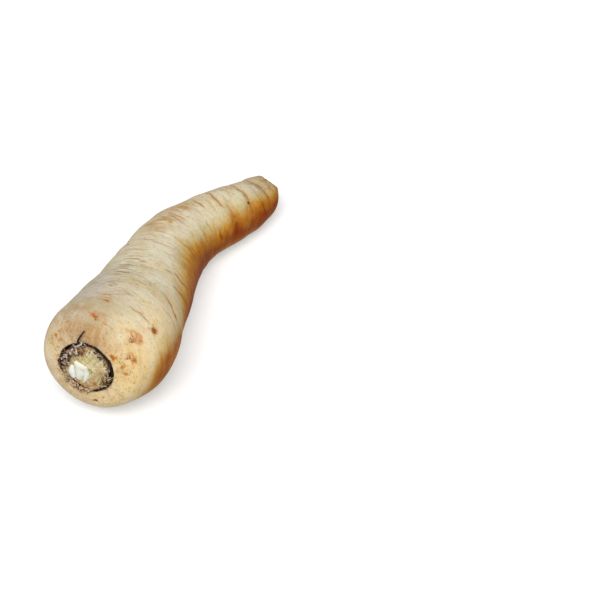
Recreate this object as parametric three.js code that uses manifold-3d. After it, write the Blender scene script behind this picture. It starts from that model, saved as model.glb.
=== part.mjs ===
// A parsnip: one thick, gently bowed taproot lying on its side, with the cut base of its leaf stalks
// in a shallow pit at the crown and a ring of dead leaf sheaths around that base.
// Millimetres, +Z up. The root runs along +Y, from the crown to the blunt tip, and rests on z = 0.

import * as THREE from "three";
import { mergeVertices } from "three/addons/utils/BufferGeometryUtils.js";
import Module from "manifold-3d";

// Driving dimensions of the root.

// Half of the root's outline: distance from the crown's rim, and radius there.
const OUTLINE = [
  [0, 13.8],
  [0.4, 16.8],
  [1.1, 19.4],
  [2.2, 21.7],
  [3.8, 23.5],
  [6, 24.9],
  [9, 26.1],
  [13, 27.1],
  [20, 27.7],
  [34, 26.8],
  [52, 24.3],
  [72, 21.8],
  [92, 19.7],
  [110, 18.0],
  [127, 16.1],
  [143, 15.1],
  [160, 12.7],
  [174, 10.2],
  [180, 7.3],
  [184, 4.6],
  [186.2, 2.4],
];
const ROOT_LENGTH = 187;

// The middle line of the root: distance from the crown's rim, sideways bow, and height above the table.
const SPINE = [
  [0, 0.0, 29.6],
  [7, -0.7, 28.8],
  [22, 1.9, 27.4],
  [45, -1.6, 25.2],
  [72, -7.1, 22.0],
  [100, -11.9, 18.6],
  [115, -11.6, 17.2],
  [140, -3.3, 15.4],
  [165, 4.2, 11.6],
  [187, 2.8, 10.4],
];

const SECTION_REACH = 12; // a cross-section faces along the spine's mean direction this far either way
const CROWN_TURN = { side: 0.07, dip: 0.045 }; // the crown's face is turned a little aside and up, as slopes
const CROWN_FADE = 14; // and the turn has faded out this far along

// The tip was broken off on a slant: where the break starts on top of the root, and the way it faces.
const BREAK_START = { along: 172.6, angle: 80 };
const BREAK_FACING = [0.32, 0.68, 0.66];

const SIDES = 44; // flats around the root
const BODY_STEP = 3.6; // distance between two rings of the root's body
const END_STEP = 0.9; // the same near the crown and the tip, where the outline turns fast
const CROWN_END = 8;
const TIP_START = 176;

// The pit in the crown, and what stands in it.
const PIT_RADIUS = 13.2;
const PIT_DEPTH = 5.5;
const GAP = 0.35; // air between two pieces that lie against each other

const STUB_RADIUS = 11.8;
const STUB_RISE = 0.9; // how far the stub's edge stands out past the crown's rim
const STUB_DOME = 0.9; // extra rise at the middle of the stub
const BUD = { side: -3.5, up: -0.8, radius: 4.4, rise: 2.5 }; // the white heart of the leaf rosette

const SHEATH_WALL = 0.75;
const SHEATH_TOP = 0.6; // how far the sheaths' edge lies below the crown's rim
const STRAND_RADIUS = 0.45;
// One stiff dead strand grows up out of the sheaths and lies back over the crown's shoulder.
// Seen from the front of the crown: sideways, along the root, and up.
const STRAND_PATH = [
  [-3.4, 1.4, 12.0],
  [-3.7, -0.4, 12.6],
  [-3.7, -1.0, 13.8],
  [-2.2, -0.6, 16.8],
  [-0.6, 0.0, 19.6],
];

const SKIN = { color: 0xdcc698, roughness: 0.62 };
const CUT_STALK = { color: 0xcfc692, roughness: 0.7 };
const DEAD_SHEATH = { color: 0x2e2018, roughness: 0.95 };

// A smooth curve through a list of [place, value, ...] stations, read at one place.
function smooth(stations, at, column = 1) {
  const last = stations.length - 1;
  const step = (i) => stations[i + 1][0] - stations[i][0];
  const rise = (i) => (stations[i + 1][column] - stations[i][column]) / step(i);
  const slope = (i) => {
    if (i === 0) return rise(0);
    if (i === last) return rise(last - 1);
    return (rise(i - 1) * step(i) + rise(i) * step(i - 1)) / (step(i - 1) + step(i));
  };
  let i = 0;
  while (i < last - 1 && at > stations[i + 1][0]) i += 1;
  const h = step(i);
  const t = (at - stations[i][0]) / h;
  const a = stations[i][column];
  const b = stations[i + 1][column];
  return (
    (1 + 2 * t) * (1 - t) ** 2 * a +
    t * (1 - t) ** 2 * h * slope(i) +
    t * t * (3 - 2 * t) * b -
    t * t * (1 - t) * h * slope(i + 1)
  );
}

function spinePoint(along) {
  return new THREE.Vector3(smooth(SPINE, along, 1), along, smooth(SPINE, along, 2));
}

// The axes of one cross-section: on towards the tip, to the side, and up. The sections turn slowly,
// so that they never fold over each other where the spine bends.
function sectionAxes(along) {
  const ahead = Math.min(along + SECTION_REACH, ROOT_LENGTH);
  const behind = Math.max(along - SECTION_REACH, 0);
  const onward = spinePoint(ahead).sub(spinePoint(behind)).normalize();
  const turned = Math.exp(-((along / CROWN_FADE) ** 2));
  onward.x -= CROWN_TURN.side * turned;
  onward.z -= CROWN_TURN.dip * turned;
  onward.normalize();
  const side = new THREE.Vector3().crossVectors(onward, new THREE.Vector3(0, 0, 1)).normalize();
  const up = new THREE.Vector3().crossVectors(side, onward);
  return { onward, side, up };
}

// Bends a straight geometry, whose Y runs along the root, onto the spine.
function bendOntoSpine(geometry) {
  const position = geometry.getAttribute("position");
  const v = new THREE.Vector3();
  for (let i = 0; i < position.count; i += 1) {
    v.fromBufferAttribute(position, i);
    const { side, up } = sectionAxes(v.y);
    const bent = spinePoint(v.y).addScaledVector(side, v.x).addScaledVector(up, v.z);
    position.setXYZ(i, bent.x, bent.y, bent.z);
  }
  return geometry;
}

// Places a straight geometry that stands in the crown, without bending it.
function standInCrown(geometry) {
  const { onward, side, up } = sectionAxes(0);
  const seat = new THREE.Matrix4().makeBasis(side, onward, up).setPosition(spinePoint(0));
  return geometry.applyMatrix4(seat);
}

// The places along the outline at which the root has a ring of vertices.
function ringPlaces() {
  const places = [];
  for (let at = END_STEP; at < CROWN_END; at += END_STEP) places.push(at);
  for (let at = CROWN_END; at < TIP_START; at += BODY_STEP) places.push(at);
  for (let at = TIP_START; at < ROOT_LENGTH - END_STEP; at += END_STEP) places.push(at);
  return places;
}

// The taproot without its pit: flat crown, shoulder, body and tip, turned and then bent.
function rootBodyGeometry() {
  const profile = [
    new THREE.Vector2(0, 0),
    new THREE.Vector2(PIT_RADIUS, 0),
    new THREE.Vector2(PIT_RADIUS + 2.4, 0.15),
  ];
  for (const at of ringPlaces()) profile.push(new THREE.Vector2(smooth(OUTLINE, at), at));
  profile.push(new THREE.Vector2(0, ROOT_LENGTH));
  return bendOntoSpine(new THREE.LatheGeometry(profile, SIDES));
}

// The space of the pit, with a worn edge where it meets the crown.
function pitGeometry() {
  const edge = 0.7;
  const profile = [
    new THREE.Vector2(0, -2),
    new THREE.Vector2(PIT_RADIUS + edge + 2, -2),
    new THREE.Vector2(PIT_RADIUS, edge),
    new THREE.Vector2(PIT_RADIUS, PIT_DEPTH),
    new THREE.Vector2(0, PIT_DEPTH),
  ];
  return standInCrown(new THREE.LatheGeometry(profile, SIDES));
}

// The cut base of the leaf stalks: a short thick disc whose top is domed and carries the white bud.
function leafStubGeometry() {
  const rings = 10;
  const profile = [];
  for (let i = 0; i <= rings; i += 1) {
    const out = i / rings;
    const rise = STUB_RISE + STUB_DOME * (1 - out * out);
    profile.push(new THREE.Vector2((STUB_RADIUS - 0.5) * out, -rise));
  }
  profile.push(new THREE.Vector2(STUB_RADIUS, 0));
  profile.push(new THREE.Vector2(STUB_RADIUS, PIT_DEPTH - 1.2));
  profile.push(new THREE.Vector2(STUB_RADIUS - 0.8, PIT_DEPTH - GAP));
  profile.push(new THREE.Vector2(0, PIT_DEPTH - GAP));
  const geometry = new THREE.LatheGeometry(profile, 36);
  const position = geometry.getAttribute("position");
  for (let i = 0; i < position.count; i += 1) {
    if (position.getY(i) >= 0) continue;
    const away = Math.hypot(position.getX(i) - BUD.side, position.getZ(i) - BUD.up) / BUD.radius;
    position.setY(i, position.getY(i) - BUD.rise * Math.exp(-(away ** 4)));
  }
  return standInCrown(geometry);
}

// The ring of dead leaf sheaths between the stub and the wall of the pit.
function sheathRingGeometry() {
  const outer = PIT_RADIUS - GAP;
  const inner = outer - SHEATH_WALL;
  const profile = [
    new THREE.Vector2(inner, PIT_DEPTH - GAP),
    new THREE.Vector2(inner, SHEATH_TOP + 0.2),
    new THREE.Vector2(outer, SHEATH_TOP),
    new THREE.Vector2(outer, PIT_DEPTH - GAP),
    new THREE.Vector2(inner, PIT_DEPTH - GAP),
  ];
  return new THREE.LatheGeometry(profile, 40);
}

// The strand: a round section drawn along its path.
function strandGeometry() {
  const path = new THREE.CatmullRomCurve3(STRAND_PATH.map((point) => new THREE.Vector3(...point)));
  const section = new THREE.Shape().absarc(0, 0, STRAND_RADIUS, 0, 2 * Math.PI);
  return new THREE.ExtrudeGeometry(section, {
    extrudePath: path,
    steps: 16,
    curveSegments: 4,
    bevelEnabled: false,
  });
}

const wasm = await Module();
wasm.setup();

function toSolid(geometry) {
  const bare = geometry.index ? geometry.toNonIndexed() : geometry.clone();
  bare.deleteAttribute("normal");
  bare.deleteAttribute("uv");
  const merged = mergeVertices(bare, 1e-3);
  return new wasm.Manifold(
    new wasm.Mesh({
      numProp: 3,
      vertProperties: merged.attributes.position.array,
      triVerts: new Uint32Array(merged.index.array),
    }),
  );
}

function toGeometry(solid) {
  const mesh = solid.getMesh();
  const geometry = new THREE.BufferGeometry();
  geometry.setAttribute("position", new THREE.BufferAttribute(mesh.vertProperties, 3));
  geometry.setIndex(new THREE.BufferAttribute(mesh.triVerts, 1));
  geometry.computeVertexNormals();
  return geometry;
}

// The block that the slanting break takes off the tip.
function breakGeometry() {
  const angle = THREE.MathUtils.degToRad(BREAK_START.angle);
  const radius = smooth(OUTLINE, BREAK_START.along);
  const { side, up } = sectionAxes(BREAK_START.along);
  const start = spinePoint(BREAK_START.along);
  start.addScaledVector(side, radius * Math.cos(angle)).addScaledVector(up, radius * Math.sin(angle));
  const facing = new THREE.Vector3(...BREAK_FACING).normalize();
  const turn = new THREE.Quaternion().setFromUnitVectors(new THREE.Vector3(0, 0, 1), facing);
  const block = new THREE.BoxGeometry(80, 80, 40).translate(0, 0, 20).applyQuaternion(turn);
  return block.translate(start.x, start.y, start.z);
}

// The taproot: the body, less the pit in its crown and the broken tip, with its belly flat where it
// lies on the table.
function taprootGeometry() {
  const table = new THREE.BoxGeometry(120, 300, 20).translate(0, ROOT_LENGTH / 2, -10);
  let root = toSolid(rootBodyGeometry());
  for (const cut of [pitGeometry(), breakGeometry(), table]) root = root.subtract(toSolid(cut));
  return toGeometry(root);
}

function piece(name, geometry, finish) {
  const mesh = new THREE.Mesh(geometry, new THREE.MeshStandardMaterial({ ...finish, metalness: 0 }));
  mesh.name = name;
  return mesh;
}

const root = piece("taproot", taprootGeometry(), SKIN);
const stub = piece("leaf_stalk_stub", leafStubGeometry(), CUT_STALK);
const sheathSolid = toSolid(sheathRingGeometry()).add(toSolid(strandGeometry()));
const sheaths = piece("dead_leaf_sheaths", standInCrown(toGeometry(sheathSolid)), DEAD_SHEATH);

const parsnip = new THREE.Group();
parsnip.add(root, stub, sheaths);

// The origin is on the table, under the middle of the whole parsnip.
const box = new THREE.Box3().setFromObject(parsnip);
const middle = box.getCenter(new THREE.Vector3());
parsnip.position.set(-middle.x, -middle.y, -box.min.z);

export default parsnip;
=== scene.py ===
"""A parsnip lying on its side: the looks of its root, its cut leaf stalks and its dead leaf sheaths."""

import bpy
import math
import numpy as np
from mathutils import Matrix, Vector


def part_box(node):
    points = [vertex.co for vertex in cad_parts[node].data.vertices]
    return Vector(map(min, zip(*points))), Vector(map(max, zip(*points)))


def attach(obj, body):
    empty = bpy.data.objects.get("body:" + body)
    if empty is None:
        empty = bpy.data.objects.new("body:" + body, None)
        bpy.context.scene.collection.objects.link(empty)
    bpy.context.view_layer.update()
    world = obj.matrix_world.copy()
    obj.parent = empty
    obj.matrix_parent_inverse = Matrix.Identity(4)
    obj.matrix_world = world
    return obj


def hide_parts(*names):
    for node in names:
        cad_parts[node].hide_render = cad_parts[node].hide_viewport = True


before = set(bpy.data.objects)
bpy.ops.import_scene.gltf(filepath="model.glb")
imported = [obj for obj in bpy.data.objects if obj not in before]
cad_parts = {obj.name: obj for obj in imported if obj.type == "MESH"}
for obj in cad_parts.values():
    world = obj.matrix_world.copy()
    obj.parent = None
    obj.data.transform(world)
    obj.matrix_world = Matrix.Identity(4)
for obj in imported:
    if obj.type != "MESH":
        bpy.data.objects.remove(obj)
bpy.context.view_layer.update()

# ------------------------------------------------------------
# Taproot. One swollen, gently bowed root of white storage tissue under a thin waxy skin, grown in one
# piece. Its outline is turned round a bent spine, then creased across, scarred where side roots left
# it, flattened where it lies, and broken off at the tip. The crown has a pit where the leaves stood.
# Its sizes are millimetres in the root's own frame: y runs from the rim of the pit towards the tip.

OUTLINE = np.array([  # distance from the rim, and radius there
    (0, 13.4), (0.4, 16.6), (1.1, 19.4), (2.2, 21.7), (3.8, 23.5), (6, 24.9), (9, 26.1), (13, 27.1),
    (20, 27.7), (34, 26.8), (52, 24.3), (72, 21.8), (92, 19.7), (110, 18), (127, 16.1), (143, 15.1),
    (160, 12.7), (174, 10.2), (180, 7.3), (184, 4.6), (186.2, 2.4),
])
SPINE = np.array([  # distance from the rim, sideways bow, and height above the table
    (0, 0, 29.6), (7, -0.7, 28.8), (22, 1.9, 27.4), (45, -1.6, 25.2), (72, -7.1, 22), (100, -11.9, 18.6),
    (115, -11.6, 17.2), (140, -3.3, 15.4), (165, 4.2, 11.6), (187, 2.8, 10.4),
])
ROOT_LENGTH = 187.0
SECTION_REACH = 12.0  # a cross-section faces along the spine's mean direction this far either way
CROWN_TURN = (-0.07, 0.0, -0.045)  # the crown's face is turned a little aside and up, as slopes,
CROWN_FADE = 14.0  # and the turn fades out over about this length
PIT_RADIUS = 12.9
PIT_DEPTH = 5.5
PIT_EDGE = 0.5  # the pit's wall opens out to the rim from this far below it
PIT_MIDDLE = (-0.4, -0.35)  # the pit sits a little aside and low on the crown,
PIT_STRETCH = (1.02, 0.97)  # and is a little wider than high
BREAK_START = (173.5, 80.0)  # where the slanting break starts: distance from the rim, and degrees round
BREAK_FACING = (0.32, 0.68, 0.66)
BREAK_EDGE = 0.35  # its rough face sets in over this depth,
BREAK_DOME = 0.06  # and stands out by this share of the first 3 mm that broke off

ROW_STEP = 0.5  # mesh spacing along the skin
PIT_ROWS = 18
COLUMNS = 226
MM = 0.001  # in metres


def smooth(stations, at, column=1):
    """A curve through the stations. Between two of them it is the cubic that meets each one with the
    mean of the slopes on its two sides, weighted towards the nearer neighbour."""
    place, value = stations[:, 0], stations[:, column]
    step = np.diff(place)
    rise = np.diff(value) / step
    middle = (rise[:-1] * step[1:] + rise[1:] * step[:-1]) / (step[1:] + step[:-1])
    slope = np.concatenate([rise[:1], middle, rise[-1:]])
    i = np.clip(np.searchsorted(place, at, side="right") - 1, 0, len(step) - 1)
    t, h = (at - place[i]) / step[i], step[i]
    return (
        (1 + 2 * t) * (1 - t) ** 2 * value[i] + t * (1 - t) ** 2 * h * slope[i]
        + t * t * (3 - 2 * t) * value[i + 1] - t * t * (1 - t) * h * slope[i + 1]
    )


def unit(vectors):
    """Each vector divided by its length."""
    return vectors / np.maximum(np.linalg.norm(vectors, axis=-1, keepdims=True), 1e-12)


def bell(x):
    """The bell curve exp(-x^2)."""
    return np.exp(-(x * x))


def ramp(x, low, high):
    """0 below low, 1 above high, and 3t^2 - 2t^3 of the way between."""
    t = np.clip((x - low) / (high - low), 0, 1)
    return t * t * (3 - 2 * t)


def spine(along):
    """Points on the root's middle line."""
    return np.stack([smooth(SPINE, along), along, smooth(SPINE, along, 2)], -1)


def section_axes(along):
    """Onward, side and up of the cross-sections. Onward is the chord of the spine from SECTION_REACH
    behind to SECTION_REACH ahead, with the crown's turn fading out as a bell curve."""
    ahead = spine(np.minimum(along + SECTION_REACH, ROOT_LENGTH))
    behind = spine(np.maximum(along - SECTION_REACH, 0))
    turned = bell(along / CROWN_FADE)[..., None]
    onward = unit(unit(ahead - behind) + turned * np.array(CROWN_TURN))
    side = unit(np.cross(onward, (0, 0, 1)))
    return onward, side, np.cross(side, onward)


def root_profile():
    """The outline as (distance over the skin from the rim, along, radius) rows: from the middle of the
    pit's floor, up its wall to the rim at 0, then over the crown's shoulder and along to the tip."""
    # Every 0.02 mm over the sharp shoulder, and every 0.06 mm beyond it.
    along = np.concatenate([np.linspace(0, 8, 400), np.linspace(8, OUTLINE[-1, 0], 3000)[1:]])
    pit = [(PIT_DEPTH, 0), (PIT_DEPTH, PIT_RADIUS), (PIT_EDGE, PIT_RADIUS)]
    points = np.concatenate([pit, np.stack([along, smooth(OUTLINE, along)], -1), [(ROOT_LENGTH, 0)]])
    walked = np.concatenate([[0], np.cumsum(np.hypot(*np.diff(points, axis=0).T))])
    return np.column_stack([walked - walked[len(pit)], points])


def full_turn(count):
    """Angles evenly round a full turn."""
    return np.linspace(0, 2 * np.pi, count, endpoint=False)


profile = root_profile()
skin_end = profile[-1, 0]
pit_rows = np.linspace(profile[0, 0], -ROW_STEP, PIT_ROWS)
over = np.concatenate([pit_rows, np.arange(0, skin_end - 0.2, ROW_STEP), [skin_end]])[:, None]
angle = full_turn(COLUMNS)[None, :]
degrees = np.degrees(angle)
along = np.interp(over, profile[:, 0], profile[:, 1])
radius = np.interp(over, profile[:, 0], profile[:, 2])
grid_shape = np.broadcast(over, angle).shape

# Where each point would be on a straight cylinder, for patterns that follow the bent root.
WAY_RADIUS = 22.0
skin_way = np.stack(np.broadcast_arrays(over, WAY_RADIUS * np.cos(angle), WAY_RADIUS * np.sin(angle)), -1)


def place_on_root(along, sideways, upwards):
    """A point of each cross-section: the spine plus its side and up axes times the two offsets. In the
    pit the sections stay those of the rim, so that the pit is straight."""
    at = np.where(over > 0, along, 0.0)
    onward, side, up = section_axes(at)
    return (
        spine(at) + onward * np.where(over > 0, 0.0, along)[..., None]
        + side * sideways[..., None] + up * upwards[..., None]
    )


def degrees_from(turn):
    """How far each column is round from a turn, between -180 and 180 degrees."""
    return (degrees - turn + 180) % 360 - 180


def drift(seed, length, way=skin_way, waves=16):
    """A smooth random field of mean 0 and spread 1: the sum of plane waves in random directions, with
    random phases and lengths near the given one, over the square root of half their number."""
    draw = np.random.default_rng(seed)
    lengths = length * draw.uniform(0.7, 1.5, waves)
    directions = unit(draw.normal(size=(waves, 3))) * (2 * np.pi / lengths)[:, None]
    return np.cos(way @ directions.T + draw.uniform(0, 2 * np.pi, waves)).sum(-1) / math.sqrt(waves / 2)


# The deeper creases across the root: distance over the skin, degrees round where each starts and ends,
# how far it climbs towards its end, depth, half width, and how dark the dirt and painted shade in it are.
CREASES = [
    (27.9, 42, 70, 0, 0.16, 0.7, 0.65), (29.4, 82, 99, -3, 0.18, 0.7, 0.5),
    (26, 84, 97, -1.5, 0.12, 0.6, 0.3), (43.9, 18, 45, 2, 0.26, 0.8, 0.8),
    (45, 60, 112, 0.8, 0.1, 0.6, 0.3), (40.2, 70, 110, 0.8, 0.1, 0.6, 0.3),
    (36.2, 95, 102, 0.2, 0.2, 0.6, 0.8), (37.6, 91, 98, 0.2, 0.16, 0.5, 0.7),
    (33.4, 64, 96, 0.8, 0.1, 0.6, 0.2), (47, 84, 104, 0.6, 0.1, 0.5, 0.6),
    (49.5, 84, 108, 0.6, 0.1, 0.5, 0.8), (52.6, 84, 110, 1, 0.12, 0.55, 1),
    (57.7, 83, 110, 1, 0.12, 0.55, 1), (61.2, 84, 106, 0.6, 0.1, 0.5, 0.5),
    (64.1, 82, 108, 1, 0.12, 0.55, 1), (60, 56, 92, 0.6, 0.1, 0.6, 0.2),
    (59.2, 18, 42, -3, 0.26, 0.7, 0.9), (64.6, 47, 57, -0.6, 0.22, 0.5, 0.9),
    (67.6, 16, 46, -1.5, 0.24, 0.8, 0.8), (70.5, 30, 52, -1, 0.12, 0.6, 0.35),
    (75, 86, 122, 2, 0.22, 0.8, 0.5), (79.5, 96, 132, 0.4, 0.14, 0.7, 0.35),
    (84.8, 56, 94, 1.5, 0.2, 0.8, 0.45), (86.8, 84, 112, 0.8, 0.2, 0.8, 0.45),
    (96, 20, 58, 0.6, 0.12, 0.8, 0.3), (104.5, 90, 116, 0.8, 0.16, 0.8, 0.45),
    (108.8, 82, 110, 1.2, 0.22, 0.9, 0.65), (111.6, 80, 104, 0.8, 0.14, 0.7, 0.4),
    (113.6, 68, 98, 1, 0.22, 0.6, 1), (116.6, 66, 104, 0.4, 0.18, 0.7, 0.5),
    (121, 84, 112, 0.4, 0.16, 0.8, 0.45), (128.6, 20, 52, 0.6, 0.16, 0.8, 0.45),
    (132, 82, 102, 0.2, 0.1, 0.6, 0.35), (134.6, 72, 104, 0.6, 0.26, 0.7, 1),
    (135.2, 0, 22, -0.6, 0.26, 0.7, 0.95), (138.8, 50, 96, 0.4, 0.12, 0.7, 0.3),
    (143.7, 56, 112, 1, 0.42, 0.9, 0.8), (146.2, -10, 66, -1.2, 0.5, 1.8, 0.5),
    (148.2, 30, 92, -0.6, 0.14, 0.8, 0.3), (151.6, 66, 112, 0.4, 0.14, 0.8, 0.35),
    (155.2, 84, 112, 0.4, 0.12, 0.7, 0.35), (159, 20, 116, 0.8, 0.44, 1.3, 0.6),
    (165.5, 20, 80, 0.5, 0.12, 0.8, 0.3), (168.2, 76, 110, 0.4, 0.14, 0.7, 0.35),
    (172.3, 10, 112, 0.4, 0.42, 1.4, 0.6), (178.6, 30, 100, 0.6, 0.14, 0.8, 0.4),
    (31, 196, 258, 1.2, 0.24, 0.8, 0.7), (56, 168, 236, -1, 0.22, 0.8, 0.6),
    (41, 290, 340, 0.8, 0.2, 0.8, 0.6), (70, 210, 300, 0.8, 0.26, 0.9, 0.6),
    (88, 180, 262, 1.2, 0.3, 0.9, 0.7), (48, 140, 186, 0.8, 0.18, 0.7, 0.6),
    (103, 226, 330, -0.8, 0.22, 0.8, 0.5), (118, 170, 250, 0.6, 0.26, 0.9, 0.6),
    (66, 130, 176, 0.6, 0.2, 0.7, 0.6), (132, 200, 300, 1, 0.26, 0.9, 0.6),
    (146, 150, 262, -0.6, 0.42, 1, 0.6), (98, 128, 180, 0.6, 0.22, 0.8, 0.6),
    (158, 160, 300, 0.8, 0.36, 1, 0.6), (171, 170, 290, 0.6, 0.3, 0.9, 0.7),
    (126, 120, 170, 0.6, 0.22, 0.8, 0.6), (17.4, 33, 50, 0.4, 0.12, 0.5, 0.9),
    (18.7, 32, 49, 0.2, 0.12, 0.5, 0.9), (20, 31, 45, 0.2, 0.12, 0.5, 0.8),
    (11.3, 15, 29, 0.3, 0.12, 0.5, 0.8), (12.4, 14, 26, 0.2, 0.12, 0.5, 0.6),
    (27, 30, 42, 0.2, 0.12, 0.5, 0.7), (29, 31, 43, 0.2, 0.12, 0.5, 0.7),
    (12.6, 78, 92, 0.3, 0.12, 0.5, 0.8), (14.2, 80, 95, 0.3, 0.12, 0.5, 0.7),
]
FINE_CREASES = 320

# The scars of thin side roots: distance over the skin, degrees round, half length across the root, half
# height along it, depth, and how brown the core and how flushed the skin round it is.
SCARS = [
    (17, 41, 4.6, 3.4, 0.12, 0, 0.75), (15.2, 41, 3.4, 2.2, 0.2, 0.88, 0.7),
    (19.4, 38, 2.8, 1.3, 0.2, 0.3, 0.85), (28, 36, 1.9, 1.1, 0.4, 0.9, 1),
    (10.4, 23, 3.8, 2.8, 0.35, 0, 0.7), (9.7, 23, 2.8, 1.7, 0.4, 0.92, 0.85),
    (11.9, 22, 2, 1, 0.2, 0.6, 1), (13.3, 86, 3.2, 1.3, 0.3, 0.8, 1), (11.5, 82, 1.5, 1, 0.25, 1, 0.5),
    (24.3, 89, 2, 1, 0.25, 0.85, 0.8), (38, 88, 1.1, 0.7, 0.25, 1.05, 0.2),
    (4.6, -80, 2.8, 1.3, 0.3, 1.05, 0.9), (43, 23, 1.3, 0.8, 0.15, 0.2, 0.9),
    (113.8, 71, 0.8, 0.6, 0.15, 0.8, 0.3), (157.7, 46, 1, 0.8, 0.2, 1.1, 0.3),
    (180.9, 74, 1.4, 1.2, 0.2, 0.4, 1), (176.7, 47, 1.6, 1, 0.2, 0.7, 0.8),
    (82.4, 120, 1.3, 0.9, 0.05, 1.4, 0.1), (22, 205, 3, 1.6, 0.4, 0.8, 0.9),
    (61, 246, 2.4, 1.2, 0.4, 0.8, 0.8), (93, 196, 2.6, 1.2, 0.4, 0.8, 0.8),
    (44, 300, 3, 1.4, 0.4, 0.7, 0.9), (121, 262, 2, 1, 0.35, 0.8, 0.7),
    (140, 212, 1.8, 0.9, 0.35, 0.8, 0.7), (74, 318, 2.2, 1.1, 0.35, 0.8, 0.8),
    (108, 310, 1.8, 0.9, 0.3, 0.8, 0.7), (164, 250, 1.2, 0.7, 0.3, 0.8, 0.7),
]
# Small rust-coloured flecks and patches: distance over the skin, degrees round, half length, half
# height, and strength.
FLECKS = [
    (1.7, 46, 1.6, 0.9, 0.8), (2, 35, 1.8, 0.8, 1.2), (3.2, 30, 1.8, 0.8, 0.9), (3.9, 25, 1.7, 0.8, 0.85),
    (4.2, 17, 1.6, 1.1, 0.85), (5.1, 5, 1.6, 1.1, 0.8), (12, 74, 2.4, 0.7, 0.7), (2.6, 74, 2.2, 0.8, 0.5),
    (9.4, 128, 2.6, 1.2, 0.6), (6.7, 133, 2.2, 1, 0.6), (4.5, 158, 1.8, 0.7, 0.6),
    (6.2, 112, 2.2, 1.2, 0.6), (6.5, 141, 0.9, 0.8, 1.5), (7.4, 148, 1.6, 0.7, 0.8),
    (3.4, 138, 1.6, 0.6, 0.7), (2.2, 152, 1.4, 0.5, 0.6), (15.4, 90, 1.6, 0.6, 0.5),
    (14.6, 54, 2, 0.8, 0.4), (28, 58, 3, 0.6, 0.5), (44.6, 38, 2.4, 0.7, 0.6), (109.4, 92, 4.2, 1.8, 0.6),
    (115.8, 86, 3, 1.2, 0.5), (106.2, 68, 1.8, 2, 0.45), (126.2, 92, 4, 2.2, 0.72),
    (136.2, 88, 2.6, 0.9, 0.5), (135.2, 50, 1.2, 1.6, 0.45), (143.2, 66, 3, 0.9, 0.6),
    (143.8, 92, 3.6, 1, 0.6), (145.8, 30, 3.6, 2.6, 0.6), (158.6, 66, 2.4, 1, 1),
    (157.6, 80, 2.2, 0.9, 0.8), (159.6, 92, 2.6, 1, 0.5), (159.8, 38, 2, 2.2, 0.75),
    (172.4, 60, 3.6, 0.9, 0.5), (178.8, 74, 1.6, 2.4, 0.75), (175, 50, 1.6, 1.6, 0.6),
    (15, 180, 1.6, 0.6, 0.7), (36, 222, 1.4, 0.5, 0.8), (9, 250, 1.8, 0.5, 0.8), (3, 300, 1.2, 0.5, 0.7),
    (0.7, 172, 3, 0.9, 0.75), (0.7, 196, 3.4, 0.9, 0.75), (1.4, 258, 1.6, 1.6, 0.8),
    (1, 236, 2.6, 1, 0.75), (5, 52, 1.4, 0.6, 0.6), (1.4, 10, 1.3, 0.6, 0.6), (6.6, 12, 1.2, 0.8, 0.6),
    (7.4, -4, 1.2, 0.7, 0.5),
]


def crease_field(creases):
    """Relief of the creases, how stained their edges are, how dark the nearest one is, and how far off
    that one is in half widths. Each is a line round the root that climbs evenly and wavers. The skin
    drops as a bell curve across it, with a low swelling on both sides, and it fades out at its ends as
    1 - x^2."""
    sunk, edges = np.zeros(grid_shape), np.zeros(grid_shape)
    darkness, nearest = np.zeros(grid_shape), np.full(grid_shape, 3.0)
    for at, start, end, climb, depth, half_width, dark in creases:
        x = degrees_from((start + end) / 2) / ((end - start) / 2)
        waver = 0.35 * np.sin(x * 3.1 + at) + 0.2 * np.sin(x * 7.7 + 2.3 * at)
        across = (over - at - climb * x / 2 - waver) / half_width
        fade = np.clip(1 - x * x, 0, 1)
        sunk += depth * fade * (0.35 * bell((np.abs(across) - 2.2) / 1.3) - bell(across))
        edges = np.maximum(edges, dark * np.sqrt(fade) * bell(across / 1.5))
        closer = (np.abs(across) < np.abs(nearest)) & (fade > 0)
        nearest = np.where(closer, across, nearest)
        darkness = np.where(closer, dark * np.sqrt(fade), darkness)
    return sunk, edges, darkness * (1 - ramp(np.abs(nearest), 0.9, 1.4)), nearest


ragged = 0.28 * drift(17, 3.2)


def spot(at, turn, half_length, half_height):
    """Distance from a spot's middle, 1 on the ellipse with those half axes, and made ragged."""
    round_skin = np.radians(degrees_from(turn)) * np.maximum(radius, 1)
    return np.hypot(round_skin / half_length, (over - at) / half_height) + ragged


# Fine creases all over, shallower towards the crown, by the same seven numbers.
draw = np.random.default_rng(7)
fine_at = 16 + 172 * draw.uniform(0, 1, FINE_CREASES)
fine_start = draw.uniform(0, 360, FINE_CREASES)
fine_creases = np.column_stack([
    fine_at, fine_start, fine_start + draw.uniform(10, 44, FINE_CREASES), draw.normal(0, 1, FINE_CREASES),
    (0.01 + 0.07 * draw.uniform(0, 1, FINE_CREASES) ** 2) * (0.35 + 0.65 * ramp(fine_at, 18, 45)),
    draw.uniform(0.45, 0.7, FINE_CREASES),
    0.5 * draw.uniform(0, 1, FINE_CREASES) ** 2 * ramp(fine_at, 15, 50),
])
relief, crease_edge, crease_dark, crease_off = crease_field(np.concatenate([CREASES, fine_creases]))

# A scar is a hollow with a raised, ragged rim, and a fleck stands up a little.
core, flush = np.zeros(grid_shape), np.zeros(grid_shape)
for at, turn, half_length, half_height, depth, brown, flushed in SCARS:
    far = spot(at, turn, half_length, half_height)
    relief += depth * (0.4 * bell((far - 1.1) / 0.35) - bell(far * 1.3))
    core = np.maximum(core, brown * bell(far * 0.9))
    flush = np.maximum(flush, flushed * bell(far * 0.75))
rust = np.zeros(grid_shape)
for at, turn, half_length, half_height, strength in FLECKS:
    far = spot(at, turn, half_length, half_height)
    rust = np.maximum(rust, strength * bell(far * 0.9))
    relief += 0.06 * bell(far)

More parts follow.
